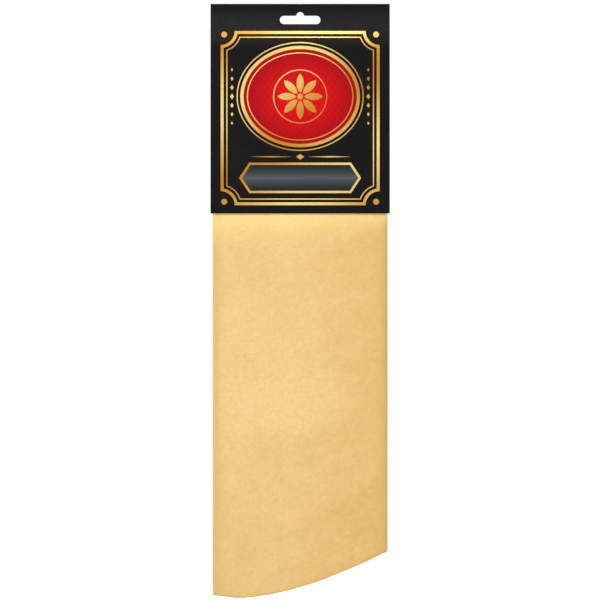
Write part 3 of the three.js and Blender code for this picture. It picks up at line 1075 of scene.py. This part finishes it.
def lay_skin(columns):
    """By column and row: the leather's middle, the way across the skin, and to its raw edge."""
    rows = SKIN_ROWS + 1
    turn = np.linspace(0, 2 * math.pi, rows)
    down = (turn - ROW_CROWDING * np.sin(turn)) / (2 * math.pi)
    place = np.zeros((len(columns), rows, 3))
    across = np.zeros((len(columns), rows))
    raw_distance = np.zeros((len(columns), rows))
    for c, column in enumerate(columns):
        half, width_share = column.half, column.width_share
        top = SKIN_HIGH.z - SKIN_LENGTH * neck_edge(width_share)
        bottom = SKIN_LOW.z + SKIN_LENGTH * rump_edge(width_share)
        bottom += BACK_HALF_SHORT if half < 0 else 0
        bottom += HEM_WAVE * noise.noise(Vector((half * width_share * HEM_WAVES, 0.5, 2.0)))
        z = top + (bottom - top) * down
        x, behind = folded_place(column, z)
        from_flank = (1 - width_share) * SKIN_HALF_WIDTH
        if column.stretch == "flap":
            behind = behind + free_edge_curl(half, from_flank, x, z)
        if column.stretch == "cover" and half > 0:
            behind = behind - staple_pillow(x, z)
        place[c] = np.column_stack([x, SKIN_MIDDLE + behind, z])
        across[c] = half * width_share * SKIN_HALF_WIDTH
        raw_distance[c] = np.minimum(np.minimum(top - z, z - bottom), from_flank)
    place[:, :, 1] += sway(place[:, :, 0], place[:, :, 2])
    return place, across, raw_distance


def leather_mesh(place, half_thick):
    """The vertices and faces of both sides of the leather, and of the rim between them."""
    normal = np.cross(np.gradient(place, axis=0), np.gradient(place, axis=1))
    normal /= np.linalg.norm(normal, axis=2)[:, :, None]
    shift = half_thick[:, :, None] * normal
    vertices = np.concatenate([(place + shift).reshape(-1, 3), (place - shift).reshape(-1, 3)])

    count, rows = half_thick.shape
    index = np.arange(count * rows).reshape(count, rows)
    back = count * rows
    a, b, c, d = index[:-1, :-1], index[1:, :-1], index[1:, 1:], index[:-1, 1:]
    quads = [
        np.stack([a, b, c, d], -1).reshape(-1, 4),
        np.stack([a, d, c, b], -1).reshape(-1, 4) + back,
    ]
    for line in (index[0, :], index[-1, ::-1], index[::-1, 0], index[:, -1]):
        start, end = line[:-1], line[1:]
        quads.append(np.stack([start, end, end + back, start + back], -1))
    return vertices.tolist(), np.concatenate(quads).tolist()


# Where the leather's colour changes: painted shade beside its folds, darker raw edges, and a painted
# highlight under the card's lower edge
LEFT_FOLD_PAINTED_SHADE = 0.6
RIGHT_FOLD_PAINTED_SHADE = 0.95
FOLD_PAINTED_SHADE_PLACE = 2.6 * MM
FOLD_PAINTED_SHADE_REACH = 3.6 * MM
RAW_EDGE_MOST = 0.75
RAW_EDGE_REACH = 1.8 * MM
# The painted highlight under the card's lower edge, shorter and fainter to the right
PAINTED_HIGHLIGHT_MOST = 0.55
PAINTED_HIGHLIGHT_START = (-9 * MM, 1 * MM)
PAINTED_HIGHLIGHT_REACH = 13.5 * MM
PAINTED_HIGHLIGHT_UNEVEN = 0.25
PAINTED_HIGHLIGHT_LUMPS = 34 * MM
PAINTED_HIGHLIGHT_LEAN = 0.3
PAINTED_HIGHLIGHT_FADE = 2.3
PAINTED_HIGHLIGHT_LESS_RIGHT = 0.15
PAINTED_HIGHLIGHT_RIGHT = (10 * MM, 65 * MM)

# Places where the hide is deeper or paler: x, z, half width, half height, turn and amount
HIDE_TONES = (
    (-10, -205, 75, 28, 0, 0.22),
    (-34, -306, 46, 17, -6, -0.30),
    (12, -304, 40, 22, 8, -0.16),
    (2, -341, 42, 12, 14, 0.22),
    (-34, -350, 34, 26, 20, -0.10),
    (38, -392, 40, 16, 18, 0.14),
    (-48, -420, 30, 18, 10, 0.08),
    (30, -268, 30, 34, 0, 0.08),
)


def painted_fold_shade(distance):
    """The painted shade just inside a fold's crest, by the distance from the crest."""
    return np.exp(-((np.abs(distance - FOLD_PAINTED_SHADE_PLACE) / FOLD_PAINTED_SHADE_REACH) ** 1.5))


def hide_tones(x, z):
    total = np.zeros_like(x)
    for cx, cz, half_width, half_height, turn, amount in HIDE_TONES:
        dx, dz = x - cx * MM, z - cz * MM
        c, s = math.cos(math.radians(turn)), math.sin(math.radians(turn))
        along, aside = (dx * c + dz * s) / (half_width * MM), (dz * c - dx * s) / (half_height * MM)
        total += amount * np.exp(-(along**2 + aside**2))
    return total


def painted_highlight_share(x, z):
    """A painted highlight: the paler band just under the card's lower edge."""
    under_card = CARD_BOTTOM - z
    uneven = 1 + PAINTED_HIGHLIGHT_UNEVEN * soft_noise(x, 0 * z, PAINTED_HIGHLIGHT_LUMPS, seed=4.4)
    reach = PAINTED_HIGHLIGHT_REACH * (1 - PAINTED_HIGHLIGHT_LEAN * x / CARD_HALF_WIDTH) * uneven
    fade = np.exp(-((np.maximum(under_card, 0) / reach) ** PAINTED_HIGHLIGHT_FADE))
    start = smooth_share(under_card, *PAINTED_HIGHLIGHT_START)
    return PAINTED_HIGHLIGHT_MOST * fade * start * (1 - PAINTED_HIGHLIGHT_LESS_RIGHT * smooth_share(x, *PAINTED_HIGHLIGHT_RIGHT))


def store_looks(mesh, columns, place, across, raw_distance):
    """What the suede's shader reads at each point: its place on the flat skin, and its tones, among
    them the painted fold shade and the painted highlight.
    """
    x, z = place[:, :, 0], place[:, :, 2]
    flat = np.stack([across, z, np.zeros_like(across)], -1).reshape(-1, 3)
    both_sides = np.concatenate([flat, flat + (0, 0, 1)])
    skin_place = mesh.attributes.new("skin_place", "FLOAT_VECTOR", "POINT")
    skin_place.data.foreach_set("vector", both_sides.ravel())

    before_flap = np.array([column.stretch != "flap" for column in columns])[:, None]
    # Painted shade beside the folds, deeper at the right-hand one
    left = painted_fold_shade(x + FOLDED_HALF_WIDTH) * LEFT_FOLD_PAINTED_SHADE * before_flap
    right = painted_fold_shade(FOLDED_HALF_WIDTH - x) * RIGHT_FOLD_PAINTED_SHADE
    shares = {
        "folded": np.maximum(left, right),
        "depth_of_tone": hide_tones(x, z),
        "raw_edge": np.exp(-raw_distance / RAW_EDGE_REACH) * RAW_EDGE_MOST,
        # Painted highlight under the card's lower edge
        "wear_and_painted_highlight": painted_highlight_share(x, z),
    }
    for name, values in shares.items():
        attribute = mesh.attributes.new(name, "FLOAT", "POINT")
        attribute.data.foreach_set("value", np.tile(values.ravel(), 2))


def make_chamois():
    """One sheet, folded in half at the left, and both halves folded back together at the right."""
    columns = skin_columns()
    place, across, raw_distance = lay_skin(columns)
    uneven = 1 + HIDE_UNEVEN * soft_noise(across, place[:, :, 2], HIDE_LUMPS, seed=5.5)
    thinned = THIN_EDGE + (1 - THIN_EDGE) * smooth_share(raw_distance, 0, THIN_EDGE_REACH)
    vertices, faces = leather_mesh(place, LEATHER / 2 * uneven * thinned)
    piece = new_object("chamois", vertices, faces, [chamois_shader()])
    face_outward(piece)
    store_looks(piece.data, columns, place, across, raw_distance)
    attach(piece, REAR_BODY)
    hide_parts("chamois_skin")
    flat_area()


make_chamois()


# Staples
def finish_staples():
    """The CAD solids stay, and get worn steel."""
    steel = steel_shader()
    for side in ("left", "right"):
        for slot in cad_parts[f"staple_{side}"].material_slots:
            slot.link = "OBJECT"
            slot.material = steel


finish_staples()

# Glue dots inside the front panel
DOT_ROUNDING = 0.4 * MM
DOT_DOME = 0.12 * MM
DOT_SUNK = 0.15 * MM
DOT_CLEAR = 0.06 * MM
DOT_SIDES = 48
DOT_RINGS = 5
DOME_SHARES = (0.15, 0.4, 0.6, 0.8)
DOT_SHARE = 0.98

# How a dot is out of round: lobes, share of the radius, and turn
DOT_WOBBLES = ((3, 0.012, 0), (5, 0.008, 1))


def dot_profile(radius, thick):
    """Points of radius and height, over the domed top, round the rim and down to the panel."""
    top = [(radius * share, thick - DOT_DOME * share**2) for share in DOME_SHARES]
    shoulder = thick - DOT_DOME - DOT_ROUNDING
    rim = [
        (radius - DOT_ROUNDING * (1 - math.sin(t)), shoulder + DOT_ROUNDING * math.cos(t))
        for t in np.linspace(0, math.pi / 2, DOT_RINGS)
    ]
    return top + rim + [(radius, 0.0)]


def glue_dot(name, node, material):
    """A soft dot, a little out of round, from inside the panel's face to just short of the leather."""
    low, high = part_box(node)
    middle = (low + high) / 2
    inside = BOARD / 2 - front_depth(middle.z) - panel_lift(middle.x, middle.z) - DOT_SUNK
    profile = dot_profile((high.x - low.x) / 2, SKIN_FRONT - DOT_CLEAR - inside)
    vertices, faces = [], []
    for radius, height in profile:
        for a in np.linspace(0, 2 * math.pi, DOT_SIDES + 1)[:-1]:
            wobble = sum(share * math.sin(lobes * a + turn) for lobes, share, turn in DOT_WOBBLES)
            out = radius * (DOT_SHARE + wobble)
            x, z = middle.x + out * math.cos(a), middle.z + out * math.sin(a)
            vertices.append((x, inside + height, z))
    last = (len(profile) - 1) * DOT_SIDES
    for near in range(0, last, DOT_SIDES):
        far = near + DOT_SIDES
        faces += [[near + i, near + j, far + j, far + i] for i, j in around(DOT_SIDES)]
    faces.append(list(range(DOT_SIDES))[::-1])
    faces.append(list(range(last, last + DOT_SIDES)))
    piece = new_object(name, vertices, faces, [material])
    face_outward(piece)
    return piece


def make_glue_dots():
    material = glue_shader()
    for side in ("left", "right"):
        node = f"adhesive_pad_{side}"
        dot = glue_dot(f"glue_dot_{side}", node, material)
        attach(dot, FRONT_BODY)
        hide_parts(node)


make_glue_dots()

# Floor below the hanging pack
FLOOR_DROP = 0.12
FLOOR_RADIUS = 7.0
FLOOR_SIDES = 96
FLOOR_NEAR = 0.3
FLOOR_FAR = 3.0
FLOOR_NEAR_GLOW = 0.06
FLOOR_FAR_GLOW = 0.8
FLOOR_COLOUR = (0.93, 0.93, 0.93, 1)


def make_floor():
    """Pale, white for the eye far out where the lamps don't reach, and clear from beneath."""
    s = Shader("pale_floor", Roughness=0.9, Specular_IOR_Level=0.1, Base_Color=FLOOR_COLOUR)
    out = s.node("ShaderNodeVectorMath", {"Vector": s.place()}, "Value", operation="LENGTH")
    glow = s.spread(out, FLOOR_NEAR, FLOOR_FAR, FLOOR_NEAR_GLOW, FLOOR_FAR_GLOW)
    glow = s.math("MULTIPLY", white_for_the_eye(s.tree), glow)
    white = s.node("ShaderNodeEmission", {"Strength": glow})
    lit = s.node("ShaderNodeAddShader", {0: s.bsdf.outputs[0], 1: white})
    clear = s.node("ShaderNodeBsdfTransparent", {})
    beneath = s.node("ShaderNodeNewGeometry", {}, "Backfacing")
    surface = s.node("ShaderNodeMixShader", {0: beneath, 1: lit, 2: clear})
    s.tree.links.new(surface, s.tree.nodes["Material Output"].inputs["Surface"])
    vertices = [(x, y, 0) for x, y in circle(0, 0, FLOOR_RADIUS, FLOOR_SIDES)]
    floor = new_object("floor", vertices, [list(range(FLOOR_SIDES))], [s.material], smooth=False)
    floor.location.z = SKIN_LOW.z - FLOOR_DROP


make_floor()
